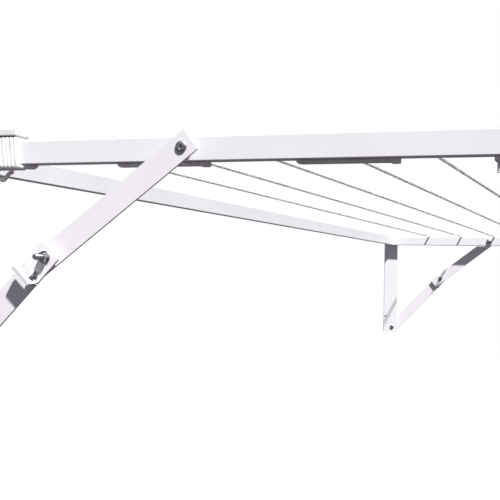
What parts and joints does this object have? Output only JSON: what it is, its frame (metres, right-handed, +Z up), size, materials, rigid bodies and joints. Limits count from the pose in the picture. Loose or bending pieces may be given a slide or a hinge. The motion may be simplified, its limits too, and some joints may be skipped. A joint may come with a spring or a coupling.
{
  "type": "fold-down wall clothes line",
  "caption": "Wall-mounted drying frame that folds down flat, held out level by a jointed strut at each end, with plastic-coated lines strung between its side arms.",
  "frame": {"origin": "centre of the four wall-bolt holes, on the wall plane", "axes": "+X to the right seen from the front, +Y into the wall, +Z up; the frame is open and level, reaching out towards -Y"},
  "size_m": [2.488, 0.75, 0.318],
  "materials": {
    "frame_white": "white powder coat",
    "strut_white": "white powder coat",
    "bracket_white": "white powder coat",
    "plastic_white": "moulded white plastic",
    "screw_steel": "zinc plated",
    "line_pvc": "soft PVC coated line"
  },
  "bodies": {
    "wall_brackets": {"left_wall_bracket": "bracket_white", "right_wall_bracket": "bracket_white", "left_foot_bolt": "screw_steel", "right_foot_bolt": "screw_steel", "left_foot_nut": "screw_steel", "right_foot_nut": "screw_steel", "left_foot_sleeve": "screw_steel", "right_foot_sleeve": "screw_steel"},
    "drying_frame": {"left_side_arm": "frame_white", "right_side_arm": "frame_white", "left_front_cap": "plastic_white", "right_front_cap": "plastic_white", "left_rear_cap": "plastic_white", "right_rear_cap": "plastic_white", "left_hinge_insert": "screw_steel", "right_hinge_insert": "screw_steel", "left_hinge_bolt": "screw_steel", "right_hinge_bolt": "screw_steel", "left_hinge_washer": "plastic_white", "right_hinge_washer": "plastic_white", "left_strut_bolt": "screw_steel", "right_strut_bolt": "screw_steel", "left_strut_nut": "screw_steel", "right_strut_nut": "screw_steel", "left_strut_spacer": "screw_steel", "right_strut_spacer": "screw_steel", "left_line_clips": "plastic_white", "right_line_clips": "plastic_white", "rear_beam": "frame_white", "front_rail": "frame_white", "line_stops": "plastic_white", "line_cleat": "plastic_white", "line_winding": "line_pvc", "line_loop": "line_pvc", "line_bends": "line_pvc", "line_run_a": "line_pvc", "line_run_b": "line_pvc", "line_run_c": "line_pvc", "line_run_d": "line_pvc", "line_run_e": "line_pvc", "line_run_f": "line_pvc"},
    "left_upper_strut": {"left_upper_link": "strut_white", "left_knee_bush": "screw_steel"},
    "left_lower_strut": {"left_lower_link": "strut_white", "left_knee_bolt": "screw_steel", "left_knee_nut": "screw_steel", "left_latch_pin": "screw_steel"},
    "left_latch": {"left_latch_lever": "strut_white"},
    "right_upper_strut": {"right_upper_link": "strut_white", "right_knee_bush": "screw_steel"},
    "right_lower_strut": {"right_lower_link": "strut_white", "right_knee_bolt": "screw_steel", "right_knee_nut": "screw_steel", "right_latch_pin": "screw_steel"},
    "right_latch": {"right_latch_lever": "strut_white"}
  },
  "joints": [
    {"name": "frame_fold", "type": "hinge", "parent": "wall_brackets", "child": "drying_frame", "pos_m": [0, -0.031, 0.132], "axis": [1, 0, 0], "range_deg": [0, 90]},
    {"name": "left_strut_top", "type": "hinge", "parent": "drying_frame", "child": "left_upper_strut", "pos_m": [-1.218, -0.332, 0.132], "axis": [1, 0, 0], "range_deg": [-145.3, 0]},
    {"name": "left_strut_foot", "type": "hinge", "parent": "wall_brackets", "child": "left_lower_strut", "pos_m": [-1.218, -0.028, -0.142], "axis": [1, 0, 0], "range_deg": [0, 134.1]},
    {"name": "left_latch_lift", "type": "hinge", "parent": "left_lower_strut", "child": "left_latch", "pos_m": [-1.2275, -0.16103, -0.00327], "axis": [0, -0.7218, -0.6921], "range_deg": [0, 25], "stiffness_Nm_per_rad": 0.02, "springref_deg": -34.38},
    {"name": "right_strut_top", "type": "hinge", "parent": "drying_frame", "child": "right_upper_strut", "pos_m": [1.218, -0.332, 0.132], "axis": [1, 0, 0], "range_deg": [-145.3, 0]},
    {"name": "right_strut_foot", "type": "hinge", "parent": "wall_brackets", "child": "right_lower_strut", "pos_m": [1.218, -0.028, -0.142], "axis": [1, 0, 0], "range_deg": [0, 134.1]},
    {"name": "right_latch_lift", "type": "hinge", "parent": "right_lower_strut", "child": "right_latch", "pos_m": [1.2275, -0.16103, -0.00327], "axis": [0, 0.7218, 0.6921], "range_deg": [0, 25], "stiffness_Nm_per_rad": 0.02, "springref_deg": -34.38}
  ],
  "couplings": [
    {"joint": "left_strut_top", "follows": "frame_fold", "ratio": -1.6089},
    {"joint": "left_strut_foot", "follows": "frame_fold", "ratio": 1.4845},
    {"joint": "right_strut_top", "follows": "frame_fold", "ratio": -1.6089},
    {"joint": "right_strut_foot", "follows": "frame_fold", "ratio": 1.4845}
  ]
}
